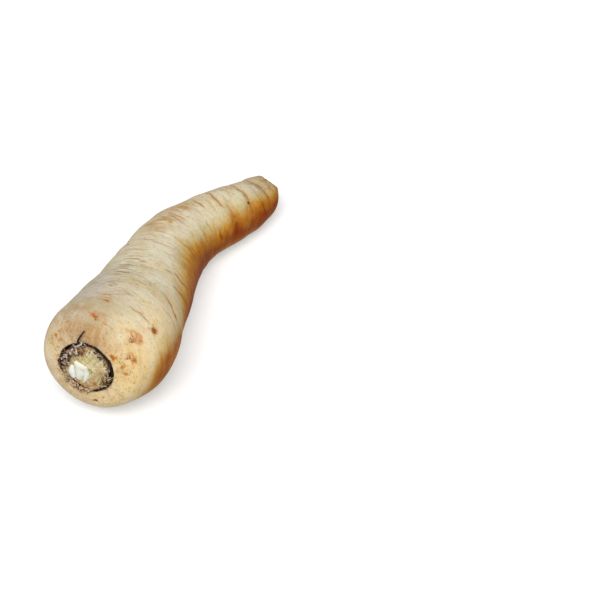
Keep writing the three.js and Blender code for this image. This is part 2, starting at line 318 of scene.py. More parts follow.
# Broad, low swellings, and waists at the deeper creases of the thinner half, each with a swelling
# beyond it: distance over the skin, and depth.
relief += 0.3 * drift(1, 40) * ramp(over, 4, 30) + 0.1 * drift(2, 11) * ramp(over, 6, 30)
for at, depth in ((115.0, 0.2), (144.6, 0.16), (159.4, 0.34), (172.4, 0.2)):
    relief += depth * (0.7 * bell((over - at - 7) / 5) - bell((over - at) / 3))
# Single swells and hollows: distance over the skin, degrees round, reach along and round, and height.
for at, turn, reach, spread, rise in (
    (11, 188, 7, 30, 0.6), (52, 140, 5, 22, -0.25), (90, 144, 4, 24, -0.45), (128, 128, 5, 24, 0.4),
    (142, 134, 5, 34, 0.8), (152, 128, 4, 28, -0.5), (166, 122, 4, 30, -0.35), (176, 132, 4, 28, 0.3),
):
    relief += rise * bell((over - at) / reach) * bell(degrees_from(turn) / spread)
# The worn, uneven lip of the pit.
relief += bell(over / 1.8) * (0.1 * drift(3, 9) + 0.07 * drift(4, 3.5))

# The pit's own middle and stretch fade out over the shoulder.
pull = np.where(over > 0, bell(over / 3), 1.0)
sideways, upwards = (
    direction * radius * (1 + (stretch - 1) * pull) + middle * pull
    for direction, stretch, middle in zip((np.cos(angle), np.sin(angle)), PIT_STRETCH, PIT_MIDDLE)
)
base = place_on_root(along, sideways, upwards)

# The relief stands along the normals, which are the cross products of the grid's central differences
# along the root and round it. It dies away below the rim and at the very end.
freedom = np.clip(1 + over, 0, 1) * np.clip((skin_end - over) / 4, 0, 1)
down, beside = np.gradient(base, axis=0), np.roll(base, -1, axis=1) - np.roll(base, 1, axis=1)
skin = base + unit(np.cross(down, beside)) * (relief * freedom)[..., None]

# The break: what lies past its plane is drawn back onto it, over a rough, slightly domed face.
break_at, turn = np.array(BREAK_START[:1]), math.radians(BREAK_START[1])
side, up = (axis[0] for axis in section_axes(break_at)[1:])
break_way = side * math.cos(turn) + up * math.sin(turn)
break_start = spine(break_at)[0] + smooth(OUTLINE, break_at) * break_way
break_facing = unit(np.array(BREAK_FACING))
past = (skin - break_start) @ break_facing
fibres = 0.14 * drift(5, 1.6, skin) + 0.08 * drift(6, 0.9, skin)
broken = np.clip(past / BREAK_EDGE, 0, 1)
drawn_back = np.maximum(past, 0) - broken * (fibres + BREAK_DOME * np.minimum(past, 3))
skin -= drawn_back[..., None] * break_facing
# Where its own weight presses it on the table, the belly is flat.
skin[..., 2] = np.maximum(skin[..., 2], 0)

# The surface stands where the CAD root stands: the low corners of their two boxes agree.
root_place = (np.array(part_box("taproot")[0]) - base.min((0, 1)) * MM) * (1, 1, 0)


def shade(code):
    """The linear colour of a hex code: each part p is p / 12.92, or ((p + 0.055) / 1.055)^2.4 if it is
    over 0.04045."""
    parts = np.array([int(code[i:i + 2], 16) for i in (0, 2, 4)]) / 255
    return np.where(parts <= 0.04045, parts / 12.92, ((parts + 0.055) / 1.055) ** 2.4)


def glaze(tint, code, share):
    """A tint with a share of another colour laid over it."""
    return tint + (shade(code) - tint) * share[..., None]


# The skin's tints, each laid over the ones before: distance over the skin, degrees round, reach
# along and round as bell curves, share, and colour.
SKIN_CREAM = "DACFB0"
# Most are the skin's own colour; the pale rows (26, 28) and (44, 26) are painted light, lifting the shade
# where the right flank turns from the lamp.
SKIN_TINTS = [
    (80, 76, 50, 52, 0.85, "E8DEC4"), (2, 0, 12, 400, 0.85, "DDC598"), (3, 84, 7, 34, 0.95, "B4895A"),
    (4.5, 120, 6, 30, 0.85, "B48E56"), (11, 98, 7, 34, 0.9, "AC844E"), (4, -5, 8, 36, 0.6, "E2C486"),
    (15, -8, 9, 40, 0.75, "F0D292"), (8, 205, 12, 50, 0.6, "D8C1A4"), (32, 114, 32, 34, 0.85, "C3BAAB"),
    (20, 92, 7, 30, 0.85, "B8A888"), (44, 26, 22, 20, 0.6, "F0D2A0"), (104, 102, 14, 20, 0.75, "C8AD88"),
    (128, 108, 12, 18, 0.6, "C6A880"), (192, 80, 28, 400, 0.8, "BEA684"), (13, 57, 5, 13, 0.25, "E8D8AC"),
    (47, 74, 6, 22, 0.4, "C4B696"), (163, 82, 7, 20, 0.5, "DCD2BA"), (148, 72, 8, 20, 0.4, "E4DCC4"),
    (25, 82, 8, 15, 0.4, "B8A27C"), (26, 28, 12, 17, 0.3, "EED49E"), (60, 250, 60, 60, 0.6, "C9B185"),
    (54, 66, 8, 13, 0.6, "EBE5D2"), (55, 100, 5, 8, 0.8, "F0EBD8"), (42, 108, 12, 14, 0.5, "C4BCB0"),
    (88, 76, 12, 14, 0.5, "EFE7CF"), (152, 62, 6, 14, 0.5, "D9D4A8"), (60, 92, 22, 9, 0.3, "CFC695"),
    (110, 84, 9, 12, 0.4, "D8BFA4"), (2, -60, 12, 40, 0.9, "E6D3AE"), (4, 44, 6, 13, 0.7, "EAD6B0"),
    (11, 100, 3.8, 32, 0.28, "A8864A"), (6, 122, 4, 20, 0.3, "B08A50"),
]
# The amber-brown along the right flank, partly browning of the skin and partly painted shade: distance
# over the skin, and degrees round of its upper edge.
FLANK_EDGE = np.array([
    (0, -70), (11, -58), (17, -26), (21, -5), (26, 15), (32, 14), (38, 12), (50, 14), (60, 31), (70, 40),
    (82, 48), (96, 49), (108, 43), (124, 36), (134, 32), (141, 36), (147, 52), (153, 39), (160, 52),
    (168, 47), (198, 50),
])
# Colours of the flank's browning and painted shade, deepening below its edge.
FLANK_STAIN_AND_SHADE = [  # colour, degrees below the edge where it starts and is full, and share
    ("D2B46C", -18, 6, 0.8), ("CC9430", 0, 16, 0.9), ("BA7216", 10, 26, 0.92), ("963E08", 24, 44, 0.88),
]
DEEPEST_FLANK_STAIN_AND_SHADE = "A8440A"

wander = 2.6 * drift(11, 14) + 1.2 * drift(12, 5)
turned = degrees_from(0)
tint = shade(SKIN_CREAM)
for at, turn, reach, spread, share, code in SKIN_TINTS:
    near = bell((over + wander - at) / reach) * bell((degrees_from(turn) + 2 * wander) / spread)
    tint = glaze(tint, code, share * near)
# The edge of this stain and painted shade wavers and is streaked. It fades under the belly and at the
# crown, under faint rings.
flank_edge = np.interp(over, *FLANK_EDGE.T) + 1.2 * drift(13, 7) + 2.2 * drift(14, 24)
flank_edge += 1.4 * drift(15, 3.0, skin_way * (1, 0.12, 0.12))
flank_edge += 12 * bell((over - 25) / 8) * (1 - ramp(turned, -6, 16))
rings = np.clip(drift(19, 6.0, skin_way * (1, 0.15, 0.15)), -1, 1)
flank_side = ramp(turned, -58, -2) * ramp(over, 8, 22) * (0.93 + 0.1 * rings)
for code, start, full, share in FLANK_STAIN_AND_SHADE:
    tint = glaze(tint, code, share * flank_side * ramp(flank_edge - turned, start, full))
# Its deepest red-brown stretch, beside the crown: partly stain and partly painted shade.
deepest_flank_stain_and_shade = 0.75 * bell((over - 35) / 10) * bell((turned - 3) / 8) * (0.85 + 0.25 * rings)
tint = glaze(tint, DEEPEST_FLANK_STAIN_AND_SHADE, deepest_flank_stain_and_shade)
# How finely lined the skin is: most in the flank's stain and painted shade, and on top past the shoulder.
lined = np.maximum(bell((over - 52) / 26) * ramp(turned, 30, 75), 0.35 * ramp(over, 30, 60))
lined = np.maximum(lined, 0.7 * flank_side * ramp(flank_edge - turned, -12, 12))


def closed_grid(name, points, values):
    """A closed mesh of one or more grids that close round their columns, and whose first and last rows
    are each one point. Points are metres as ([grids,] rows, columns, 3), and values are attributes by
    name, a number or vector a point, or one vector for all. The faces point inwards, and the columns are
    turned round, if the volume, summed over pyramids from the middle, comes out negative."""
    grids, rows, columns = (1, *points.shape)[-4:-1]
    first = points.reshape(grids, rows, columns, 3)[0]
    first = first - first.mean((0, 1))
    near, far = first[:-1], first[1:]
    near_next, far_next = np.roll(near, -1, axis=1), np.roll(far, -1, axis=1)
    inward = (near * (np.cross(far, far_next) + np.cross(far_next, near_next))).sum() < 0

    def in_order(field, width):
        """The field's values vertex by vertex, with only one for each end row."""
        field = field.reshape(grids, rows, columns, width)[:, :, ::-1 if inward else 1]
        inner = field[:, 1:-1].reshape(grids, -1, width)
        return np.concatenate([field[:, :1, 0], inner, field[:, -1:, 0]], 1).astype(np.float32).ravel()

    number = 1 + np.arange((rows - 2) * columns).reshape(rows - 2, columns)
    beside = np.roll(number, -1, axis=1)
    last = (rows - 2) * columns + 1
    quads = np.stack([number[:-1], number[1:], beside[1:], beside[:-1]], -1)
    start = np.stack([np.zeros(columns, int), number[0], beside[0]], -1)
    end = np.stack([np.full(columns, last), beside[-1], number[-1]], -1)
    corners = np.concatenate([quads.ravel(), start.ravel(), end.ravel()])
    corners = (corners + (last + 1) * np.arange(grids)[:, None]).ravel()
    sizes = np.tile(np.repeat([4, 3], [quads.size // 4, 2 * columns]), grids)

    mesh = bpy.data.meshes.new(name)
    mesh.vertices.add((last + 1) * grids)
    mesh.vertices.foreach_set("co", in_order(points, 3))
    mesh.loops.add(len(corners))
    mesh.loops.foreach_set("vertex_index", corners.astype(np.int32))
    mesh.polygons.add(len(sizes))
    mesh.polygons.foreach_set("loop_start", np.concatenate([[0], np.cumsum(sizes)[:-1]]).astype(np.int32))
    mesh.update(calc_edges=True)
    for key, value in values.items():
        if value.shape[-1] == 3:
            kind, field, width = "FLOAT_VECTOR", "vector", 3
        else:
            kind, field, width, value = "FLOAT", "value", 1, value[..., None]
        value = np.broadcast_to(value, points.shape[:-1] + (width,))
        mesh.attributes.new(key, kind, "POINT").data.foreach_set(field, in_order(value, width))
    mesh.shade_smooth()
    piece = bpy.data.objects.new(name, mesh)
    bpy.context.scene.collection.objects.link(piece)
    return piece


# The last masks mark the crown, where creases are olive and not rusty, and two freckled patches.
freckled = bell(degrees_from(110) / 50) + 0.7 * bell(degrees_from(10) / 45)
taproot = closed_grid("taproot_skin", root_place + skin * MM, {
    "skin_way": skin_way, "tint": tint, "lined": lined, "broken": broken, "pit": ramp(-over, 0.3, 0.9),
    "crease": crease_dark, "crease_off": crease_off, "crease_edge": crease_edge,
    "core": core, "flush": flush, "rust": rust, "crown": bell((over - 2) / 13),
    "olive": bell((over - 54) / 20) * ramp(turned, 58, 76), "freckled": bell((over - 6) / 6) * freckled,
})


class Wire:
    """An output in a shader tree. The operators add the Math nodes that work them out, and node() adds
    any other node."""

    def __init__(self, tree, socket=None):
        self.tree, self.socket = tree, socket

    def node(self, kind, settings=None, inputs=None, output=0):
        """A new node: its settings first, then the value or the wire of each input."""
        made = self.tree.nodes.new(kind)
        for key, value in (settings or {}).items():
            setattr(made, key, value)
        for key, value in (inputs or {}).items():
            if isinstance(value, Wire):
                self.tree.links.new(value.socket, made.inputs[key])
            else:
                made.inputs[key].default_value = value
        return Wire(self.tree, made.outputs[output])

    def maths(self, operation, first, second=0.0):
        return self.node("ShaderNodeMath", {"operation": operation}, {0: first, 1: second})

    def __abs__(self):
        return self.maths("ABSOLUTE", self)

    def __add__(self, other):
        return self.maths("ADD", self, other)

    def __sub__(self, other):
        return self.maths("SUBTRACT", self, other)

    def __rsub__(self, other):
        return self.maths("SUBTRACT", other, self)

    def __mul__(self, other):
        return self.maths("MULTIPLY", self, other)

    __radd__, __rmul__ = __add__, __mul__

    def between(self, low, high):
        """0 below low, 1 above high, and a smooth step from one to the other."""
        inputs = {"Value": self, "From Min": low, "From Max": high}
        return self.node("ShaderNodeMapRange", {"interpolation_type": "SMOOTHSTEP"}, inputs)

    def attribute(self, name, output="Fac"):
        """A value that the mesh carries."""
        return self.node("ShaderNodeAttribute", {"attribute_name": name}, output=output)

    def place(self):
        """The object's own coordinates, in metres."""
        return self.node("ShaderNodeTexCoord", output="Object")

    def noise(self, stretch, detail=3.0, roughness=0.6):
        """Noise on this vector, whose axes are first multiplied by stretch."""
        scaled = self.node("ShaderNodeVectorMath", {"operation": "MULTIPLY"}, {0: self, 1: stretch})
        inputs = {"Vector": scaled, "Scale": 1.0, "Detail": detail, "Roughness": roughness}
        return self.node("ShaderNodeTexNoise", None, inputs)

    def scaled(self, factor):
        """This colour, brighter or darker by a factor."""
        return self.node("ShaderNodeVectorMath", {"operation": "SCALE"}, {0: self, "Scale": factor})

    def blend(self, code, share, how="MIX"):
        """This colour, with a share of another laid over it, or multiplied into it."""
        settings = {"data_type": "RGBA", "clamp_factor": True, "blend_type": how}
        layer = (*map(float, shade(code)), 1.0)
        return self.node("ShaderNodeMix", settings, {0: share, 6: self, 7: layer}, output=2)

    def stain(self, code, share):
        """This colour, darkened by a share of a stain."""
        return self.blend(code, share, "MULTIPLY")

    def bump(self, height):
        """The normal of a surface raised by a height in millimetres."""
        return self.node("ShaderNodeBump", None, {"Strength": 1.0, "Distance": MM, "Height": height})

    def connect(self, **sockets):
        """Joins wires to the shader's sockets, whose names are given with _ for a space."""
        for key, wire in sockets.items():
            socket = self.tree.nodes["Principled BSDF"].inputs[key.replace("_", " ")]
            self.tree.links.new(wire.socket, socket)


def finish(name, pieces, constants):
    """The tree of a new material on the pieces, with the constants set on its shader's own sockets."""
    material = bpy.data.materials.new(name)
    material.use_nodes = True
    for key, value in constants.items():
        material.node_tree.nodes["Principled BSDF"].inputs[key].default_value = value
    for piece in pieces:
        piece.data.materials.append(material)
    return Wire(material.node_tree)


tree = finish("parsnip_skin", [taproot], {
    "Subsurface Weight": 0.1,
    "Subsurface Radius": (1.0, 0.5, 0.2),
    "Subsurface Scale": 2.0 * MM,
    "Specular IOR Level": 0.05,
})
way = tree.attribute("skin_way", "Vector")
colour = tree.attribute("tint", "Color")
crease, crease_off, crease_edge, core, flush, rust, broken, pit, crown, lined, olive, freckled = map(
    tree.attribute,
    "crease crease_off crease_edge core flush rust broken pit crown lined olive freckled".split(),
)

clouds = way.noise((0.08, 0.07, 0.07), 3.0, 0.55)
streaks = way.noise((0.07, 0.18, 0.18), 3.0, 0.55)
patches = way.noise((0.24, 0.15, 0.15), 4.0)
lines = way.noise((1.7, 0.22, 0.22))
mottle = way.noise((0.9, 0.7, 0.7), 4.0, 0.65)
grit = way.noise((2.3, 1.9, 1.9), 3.0, 0.7)
grain = way.noise((4.4, 3.8, 3.8), 2.0)
speckle = way.noise((1.5, 1.3, 1.3), 1.0, 0.5)
folds = way.noise((0.65, 0.055, 0.055), 2.0, 0.5)
wrinkle = abs(folds - 0.5).between(0.045, 0.01) * patches.between(0.38, 0.6) * (0.12 + 0.63 * lined)
line = crease * abs(crease_off + 0.8 * grit - 0.4).between(0.55 + 0.25 * olive, 0.15 + 0.15 * olive)

# Faint clouds, pinkish and greenish patches, fine lines across the root, and a fine grain.
colour = (
    colour
    .stain("F0E0B8", clouds.between(0.48, 0.66) * 0.4)
    .stain("F6DCC4", patches.between(0.52, 0.7) * 0.45)
    .stain("EEE8BE", patches.between(0.48, 0.3) * 0.6)
    .stain("DDBE8C", mottle.between(0.54, 0.74) * 0.45)
    .stain("BFA070", lines.between(0.55, 0.75) * (0.12 + 0.4 * lined))
    .stain("A58F62", wrinkle * 0.7)
    .scaled(1.28 - 0.14 * mottle - 0.22 * grain - 0.22 * speckle)
    .blend("F2E6C6", streaks.between(0.5, 0.68) * crown * 0.32)
    .stain("DDB892", streaks.between(0.48, 0.32) * crown * 0.32)
    .blend("B27A36", (0.08 * crown + 0.08 * freckled + mottle).between(0.66, 0.74) * 0.6)
    # Creases: a warm edge and a thin ragged dark line, olive on the upper flank and rust-brown elsewhere.
    # The dark line is dirt in the groove and painted shade of it.
    .stain("DDB68A", crease_edge * (0.6 - 0.5 * olive))
    .stain("B88458", line * (1.0 - olive) * 0.9)
    .blend("7E6836", line * olive * 0.8)
    # Scars and flecks: flushed skin, then rusty grains, then dark grains in the middle.
    .blend("D2985C", flush.between(0.15, 0.95) * (0.3 + 0.5 * mottle))
    .blend("A8622E", (flush + 1.2 * grit).between(1.22, 1.5) * 0.75)
    .blend("C08C42", (rust + mottle).between(0.8, 1.25) * 0.6)
    .blend("B8761F", (rust + 1.1 * grit).between(1.12, 1.4) * (0.5 + 0.35 * crown))
    .blend("B8481C", (rust + 0.4 * grit).between(1.15, 1.45) * 0.9)
    .blend("4A2C24", (core + 1.2 * grit).between(1.32, 1.58) * 0.9)
    .blend("B08350", broken * (0.5 + 0.6 * mottle))
    # The pit's walls and floor, near black: painted shade of the deep pit.
    .blend("1E120C", pit)
)

height = 0.03 * lines + 0.03 * mottle + 0.04 * grit + 0.02 * grain - 0.08 * line - 0.06 * wrinkle
tree.connect(Base_Color=colour, Roughness=0.42 + 0.2 * mottle + 0.15 * line, Normal=tree.bump(height))
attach(taproot, "root")
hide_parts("taproot")

# ------------------------------------------------------------
# Leaf stalk stub. The base of the cut leaf stalks, a low disc of pale green flesh that fills the
# middle of the pit and stands a little above its rim. It grew out of the root, and was sliced across.
# Its sizes are millimetres in the crown's frame: sideways, into the root, and up across its face.

STUB_EDGE = np.array([  # degrees round, and radius of the ragged edge
    (0, 10.6), (25, 11.2), (45, 10.6), (72, 11.3), (98, 11.2), (122, 9.8), (150, 9.2), (175, 9.8),
    (195, 11.4), (215, 11), (240, 10), (268, 11), (300, 11.5), (325, 10.6), (345, 10.1), (360, 10.6),
])
STUB_RISE = 0.9  # height of the edge above the rim,
STUB_DOME = 0.9  # of the middle above the edge,
STUB_FOOT = 5.4  # and how far down it goes
STUB_ROWS = 60
SIDE_ROWS = 10
STUB_FLESH = "C2B082"
STUB_TINTS = [  # sideways and up, reach, share and colour, laid one over another
    (0.8, 3.2, 5, 0.85, "CDC48E"), (5, 7, 3.6, 0.6, "C4B898"), (3.2, 0.6, 1.8, 0.7, "E2DAB4"),
    (7.4, -1, 3.6, 0.7, "B89868"), (4, 9.6, 3, 0.75, "B5A384"), (-2.4, 9.6, 3.2, 1, "8A5626"),
    (-5.6, 6.2, 3.2, 0.9, "9C7646"), (4.4, -7.4, 2.4, 0.9, "B07A38"), (-0.6, -8.8, 2.6, 0.8, "B4854E"),
    (-4.6, -6.8, 1.8, 0.9, "B4683A"), (-1.8, -5.6, 1.4, 0.9, "D0C084"), (9.4, -2.4, 2.2, 0.85, "93694A"),
    (2.4, -0.6, 0.8, 1, "8C8438"), (6.6, -5, 1.6, 0.6, "C9BF86"), (9.2, 2.2, 1.3, 0.9, "E2D8B8"),
    (-9.8, -2.4, 2.2, 0.8, "AC9C66"), (-8.2, 3, 1.8, 0.9, "A8985C"), (2.8, 6.2, 1.4, 0.6, "C2B864"),
    (-9.6, 9.2, 1.6, 0.8, "8A8A50"),
]

crown_middle = spine(np.array(0.0))
crown_axes = np.stack(section_axes(np.array(0.0)))[[1, 0, 2]]


def stand_in_crown(points):
    """Points in the crown's frame put where the crown is, in metres: its middle plus its side, onward
    and up axes times the three coordinates."""
    return root_place + (crown_middle + points @ crown_axes) * MM


def stub_surface():
    """The disc as a grid. Out from the middle, rows cross its domed top, whose height falls as the
    square of the way out and rounds off at its ragged edge. More go down its side, as far as sunk
    says, and the last closes its foot."""
    turns = np.linspace(0, 360, 160, endpoint=False)[None, :]
    way_out = np.concatenate([np.linspace(0, 1, STUB_ROWS), np.full(SIDE_ROWS, 1.0), [0.0]])[:, None]
    sunk = np.concatenate([np.zeros(STUB_ROWS), np.linspace(0.04, 1, SIDE_ROWS), [1.0]])[:, None]
    a = np.radians(turns)
    ragged = 0.22 * np.sin(9 * a + 1) + 0.16 * np.sin(17 * a) + 0.1 * np.sin(31 * a + 2)
    out = way_out * (smooth(STUB_EDGE, turns) + ragged * way_out ** 4)
    x, z = out * np.cos(a), out * np.sin(a)
    rise = STUB_RISE + STUB_DOME * (1 - way_out ** 2) - 0.5 * ramp(way_out, 0.88, 1.0) ** 2
    return x, z, rise, sunk


x, z, rise, sunk = stub_surface()
# The crescent scars of the stalks wrap round the bud, and two places by the edge are hollow.
from_bud = np.hypot(x + 2.0, z + 0.4)
round_bud = np.arctan2(z + 0.4, x + 2.0)
flat_way = np.stack([x, z, 0 * x], -1)
relief = 0.14 * np.sin(from_bud * 2.5 + 0.8 * np.sin(round_bud * 2 + 1)) + 0.05 * np.sin(from_bud * 5.7 + 2)
relief = (relief + 0.1 * drift(21, 2.0, flat_way) + 0.06 * drift(22, 0.9, flat_way)) * ramp(from_bud, 3, 5)
relief -= 0.5 * bell(np.hypot(x + 5, z - 7.5) / 2.2) + 0.35 * bell(np.hypot(x - 8.8, z + 3.2) / 1.6)
rise = rise + relief * (sunk == 0) * ramp(np.hypot(x, z), 0.2, 1.2)
points = np.stack([x, -rise * (1 - sunk) + STUB_FOOT * sunk, z], -1)

tint = shade(STUB_FLESH)
wander_x, wander_z = 0.4 * drift(23, 3, flat_way), 0.4 * drift(24, 3, flat_way)
for side, up, reach, share, code in STUB_TINTS:
    near = bell(np.hypot(x - side + wander_x, z - up + wander_z) / reach)
    tint = glaze(tint, code, share * near)
rim = ramp(np.hypot(x, z) / smooth(STUB_EDGE, np.degrees(np.arctan2(z, x)) % 360), 0.86, 1.0)
tint = glaze(tint, "7A5230", 0.7 * rim)
# Down its side into the pit the disc is near black: painted shade of the gap round it.
tint = glaze(tint, "22140C", ramp(sunk, 0.05, 0.3))
stub = closed_grid("leaf_stalk_base", stand_in_crown(points), {
    "tint": tint, "stub_way": np.stack([from_bud, 4 * np.cos(round_bud), 4 * np.sin(round_bud)], -1),
})

tree = finish("cut_stalk", [stub], {
    "Subsurface Weight": 0.15,
    "Subsurface Radius": (1.0, 0.8, 0.4),
    "Subsurface Scale": 1.5 * MM,
    "Specular IOR Level": 0.4,
})
way = tree.attribute("stub_way", "Vector")
colour = tree.attribute("tint", "Color")
cells = tree.place().noise((900, 900, 900))
rings = way.noise((2.2, 0.5, 0.5))
rays = way.noise((0.25, 2.4, 2.4))
colour = colour.stain("CDB680", rings.between(0.5, 0.72) * 0.6)
colour = colour.blend("EDE8CC", rays.between(0.52, 0.72) * 0.55)
colour = colour.stain("B48C58", rays.between(0.44, 0.26) * 0.5)
colour = colour.stain("A87C48", cells.between(0.54, 0.72) * 0.55)
height = 0.07 * rings + 0.06 * rays + 0.1 * cells
tree.connect(Base_Color=colour, Roughness=0.5 + 0.2 * cells, Normal=tree.bump(height))

# The white bud: young leaves folded together, blunt fingers that lean down over the disc and merge.
BUD_MIDDLE = (-2.6, -1.2)  # sideways and up
BUD_REACH = 8.0
BUD_FOOT = 0.2  # height of its underside, which is hidden in the disc
BUD_FINGERS = [  # points along each (sideways, up), and the half width and height of its ridge there
    [(-6.6, -0.6, 1.4, 2.3), (-6.7, -2.8, 2.2, 2.5), (-6.3, -5.0, 2.0, 2.1)],
    [(-4.6, 2.2, 1.5, 2.4), (-3.4, 0.4, 2.2, 2.8), (-3.0, -2.4, 2.3, 2.8), (-3.3, -5.2, 1.9, 2.3)],
    [(-2.8, 1.4, 1.9, 2.5), (-0.2, 0.5, 1.8, 2.4)],
    [
        (-0.4, 0.4, 1.8, 2.4), (0.3, -1.8, 2.0, 2.5), (0.3, -3.8, 1.7, 2.3), (-0.5, -5.8, 1.4, 1.9),
        (-1.5, -7.8, 0.7, 1.4),
    ],
]


def bud_surface(rows=80, columns=150):
    """The bud as a grid round its middle, closed underneath. Over each finger the height is that of the
    nearest point of its ridge, less 1.2 u^2 + 0.8 u^6, u being the way off in half widths. All but the
    first are joined smoothly, as the logarithm of a sum of exponentials. Also gives its folds, a deep one
    by the first finger and a faint one between two others, and how near its upper foot is."""
    turns = full_turn(columns)[None, :]
    out = np.concatenate([np.linspace(0, 1, rows - 1), [0]])[:, None] * BUD_REACH
    x, z = BUD_MIDDLE[0] + out * np.cos(turns), BUD_MIDDLE[1] + out * np.sin(turns)
    heights = []
    for stations in BUD_FINGERS:
        place = np.arange(len(stations), dtype=float)
        table = np.column_stack([place, stations])
        t = np.linspace(0, place[-1], 40)
        ridge_x, ridge_z, half, top = (smooth(table, t, column) for column in (1, 2, 3, 4))
        off = np.hypot(x[..., None] - ridge_x, z[..., None] - ridge_z) / half
        heights.append((top - 1.2 * off ** 2 - 0.8 * off ** 6).max(-1))
    first, others = heights[0], np.log(np.exp(np.clip(2 * np.array(heights[1:]), -9, 9)).sum(0)) / 2
    parting = bell((first - others) / 0.45) * ramp(z, -6.6, -4.6)
    fold = np.maximum(parting, 0.35 * bell((heights[1] - heights[3]) / 0.5) * ramp(-z, 2.0, 5.0))
    floor = np.broadcast_to(np.arange(rows)[:, None] == rows - 1, x.shape)
    rise = np.where(floor, BUD_FOOT, np.maximum(np.maximum(first, others), BUD_FOOT + 0.1))
    return np.stack([x, -rise, z], -1), fold, ramp(z + 0.5 * x, -4.5, 1.5)


bud_points, bud_fold, bud_foot = bud_surface()
bud = closed_grid("leaf_bud", stand_in_crown(bud_points), {"fold": bud_fold, "foot": bud_foot})
tree = finish("leaf_bud", [bud], {
    "Subsurface Weight": 0.3,
    "Subsurface Radius": (1.0, 0.9, 0.6),
    "Subsurface Scale": 1.2 * MM,
    "Specular IOR Level": 0.5,
})
veins = tree.place().noise((1100, 700, 260))
colour = tree.node("ShaderNodeRGB").blend("E4E5DC", 1.0)
colour = colour.blend("CFD0B4", veins.between(0.5, 0.75) * 0.6)
colour = colour.blend("D3D0B0", tree.attribute("foot") * (0.2 + 0.5 * veins))
colour = colour.blend("A39F5E", tree.attribute("fold") * (0.4 + 0.7 * veins))
tree.connect(Base_Color=colour, Roughness=0.35 + 0.2 * veins, Normal=tree.bump(0.1 * veins))
for piece in (stub, bud):
    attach(piece, "root")
    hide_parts("leaf_stalk_stub")

# ------------------------------------------------------------
# Dead leaf sheaths. The papery bases of the leaves that fell, black and brown, that line the pit round
# the stub; their black is partly painted shade of the deep gap. They tore when the stalks were cut: most
# are flakes and shreds, and one strand sticks out.

LINING_RADIUS = 12.55
LINING_WALL = 0.3
LINING_DEPTH = 5.2
LINING_ROWS = 16
turns = full_turn(300)[None, :]
edge_way = np.stack([12 * np.cos(turns), 12 * np.sin(turns), 0 * turns], -1)
tear = 0.55 * drift(31, 5.0, edge_way) + 0.5 * drift(32, 1.6, edge_way) + 0.3 * drift(33, 0.8, edge_way)
left = ramp(np.cos(turns - math.radians(165)), 0.2, 0.95)  # where the lining is torn off lower


def lining_surface():
    """The lining as a grid: up the outside of a thin wall, over its torn edge and down the inside, with
    a lean inwards that grows as the square of the height, and a thin floor under the stub."""
    climb = np.linspace(0, 1, LINING_ROWS)
    t = np.concatenate([[0], climb, climb[::-1], [0]])[:, None]
    inner = np.repeat([0, 1, 0], [1 + LINING_ROWS, LINING_ROWS, 1])[:, None]
    closed = np.repeat([0, 1, 0], [1, 2 * LINING_ROWS, 1])[:, None]
    top = 0.5 - 0.3 * left + tear * 0.4
    lean = (0.5 + 0.5 * drift(34, 6.0, edge_way)) * 0.9 * t ** 2
    out = (LINING_RADIUS + 0.2 * drift(35, 3.0, edge_way) * t - lean - LINING_WALL * inner) * closed
    foot = LINING_DEPTH - LINING_WALL * inner
    into = foot + (top - foot) * t
    sideways = PIT_MIDDLE[0] + PIT_STRETCH[0] * out * np.cos(turns)
    upwards = PIT_MIDDLE[1] + PIT_STRETCH[1] * out * np.sin(turns)
    return np.stack([sideways, into + 0 * out, upwards], -1), t


lining_points, lining_height = lining_surface()
# The lining is near black low down and browner at its torn top: the dark dead sheath, with painted shade of
# the deep gap.
paler = ramp(lining_height, 0.86, 1.0) * (0.4 + 0.5 * np.clip(tear, -1, 1))
lining = closed_grid("sheath_lining", stand_in_crown(lining_points), {
    "tint": glaze(shade("1D120D"), "4A3324", paler),
})

